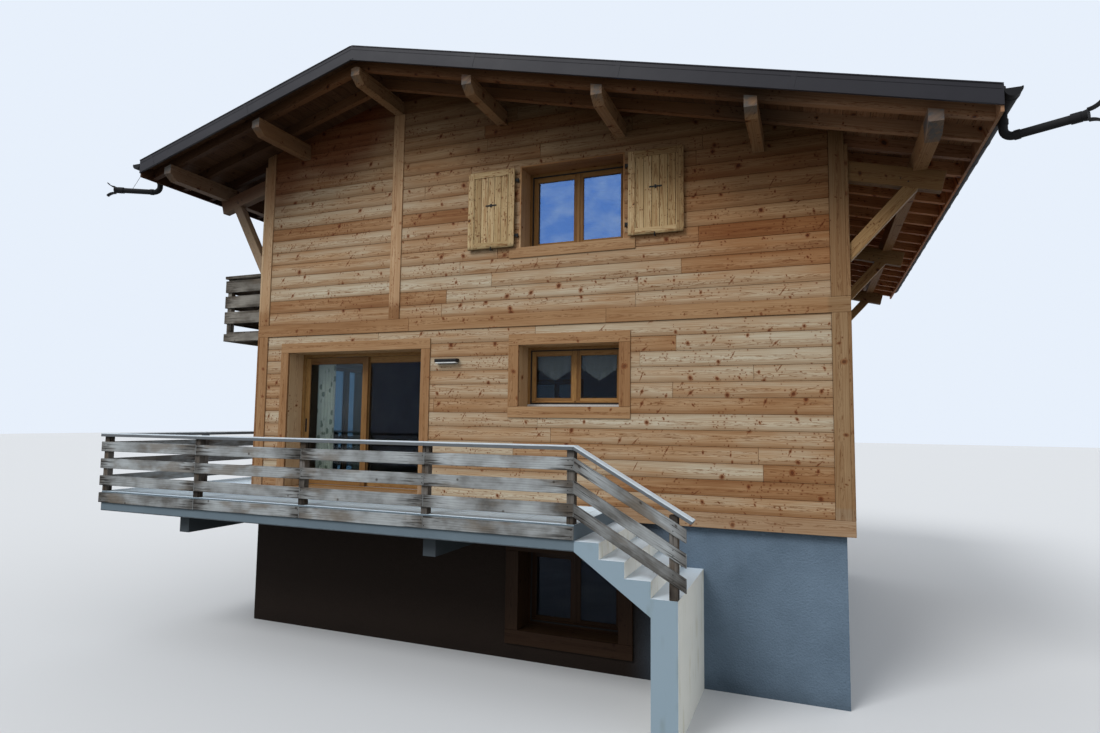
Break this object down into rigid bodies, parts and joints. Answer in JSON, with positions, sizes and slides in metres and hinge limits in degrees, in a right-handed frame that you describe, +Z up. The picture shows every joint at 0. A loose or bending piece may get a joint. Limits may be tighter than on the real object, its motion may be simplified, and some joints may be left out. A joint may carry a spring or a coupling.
{
  "type": "alpine chalet",
  "caption": "Timber-clad alpine house on a rendered basement, with a low-pitched gable roof, a railed terrace with steps, a side balcony and shuttered windows.",
  "frame": {"origin": "on the lowest ground at the middle of the house's width and depth", "axes": "+X to the right along the front, +Y from the front to the back, +Z up; the gabled front with the terrace faces -Y"},
  "size_m": [13.3742, 10.851, 8.462],
  "materials": {
    "render": "rough rendered masonry",
    "concrete": "painted concrete",
    "steps": "light cast steps",
    "wall_timber": "knotty larch boards, clear stain",
    "trim_timber": "smooth larch, clear stain",
    "frame_timber": "brown-stained timber",
    "glass": "clear insulating glass",
    "shutter_timber": "pale yellow-stained boards",
    "ironwork": "black paint",
    "beam_timber": "planed beams, clear stain",
    "soffit_timber": "reddish-brown stain",
    "roof_metal": "dark standing-seam sheet",
    "verge_metal": "dark anthracite-brown sheet",
    "gutter_metal": "black-brown coated sheet",
    "rail_timber": "silver-grey weathered boards",
    "coping_paint": "light grey-blue coated"
  },
  "bodies": {
    "house": {"base_slab": "render", "basement_front_wall": "render", "basement_left_wall": "render", "basement_right_wall": "render", "basement_back_wall": "render", "ground_floor": "render", "terrace_beams": "render", "terrace_slab": "concrete", "stair": "steps", "front_wall_left": "wall_timber", "front_wall_over_door": "wall_timber", "front_wall_right": "wall_timber", "front_gable": "wall_timber", "left_wall": "wall_timber", "right_wall": "wall_timber", "back_wall": "wall_timber", "back_gable": "wall_timber", "corner_boards": "trim_timber", "band_board": "trim_timber", "skirt_board": "trim_timber", "ridge_trim": "trim_timber", "door_surround": "trim_timber", "window_surrounds": "trim_timber", "door_frame": "frame_timber", "fixed_leaf": "frame_timber", "lower_window": "frame_timber", "upper_window": "frame_timber", "basement_window": "frame_timber", "side_windows": "frame_timber", "window_panes": "glass", "shutter_pins": "ironwork", "wall_lamp": "ironwork", "purlins": "beam_timber", "eave_brackets": "beam_timber", "upper_floor": "beam_timber", "rafters": "soffit_timber", "roof_boarding": "soffit_timber", "eave_boards": "soffit_timber", "roof_sheet": "roof_metal", "verge_boards": "verge_metal", "gutters": "gutter_metal", "spouts": "gutter_metal", "terrace_posts": "rail_timber", "terrace_rails": "rail_timber", "balcony_floor": "rail_timber", "balcony_rail": "rail_timber", "terrace_coping": "coping_paint"},
    "terrace_door_leaf": {"sliding_leaf": "frame_timber", "sliding_pane": "glass"},
    "left_shutter_leaf": {"left_shutter": "shutter_timber", "left_shutter_hinges": "ironwork"},
    "right_shutter_leaf": {"right_shutter": "shutter_timber", "right_shutter_hinges": "ironwork"}
  },
  "joints": [
    {"name": "terrace_leaf_slide", "type": "slide", "parent": "house", "child": "terrace_door_leaf", "axis": [1, 0, 0], "range_m": [0, 1.147]},
    {"name": "left_shutter_swing", "type": "hinge", "parent": "house", "child": "left_shutter_leaf", "pos_m": [0.205, -4.024, 6.2845], "axis": [0, 0, 1], "range_deg": [0, 180]},
    {"name": "right_shutter_swing", "type": "hinge", "parent": "house", "child": "right_shutter_leaf", "pos_m": [1.786, -4.024, 6.2845], "axis": [0, 0, -1], "range_deg": [0, 180]}
  ]
}
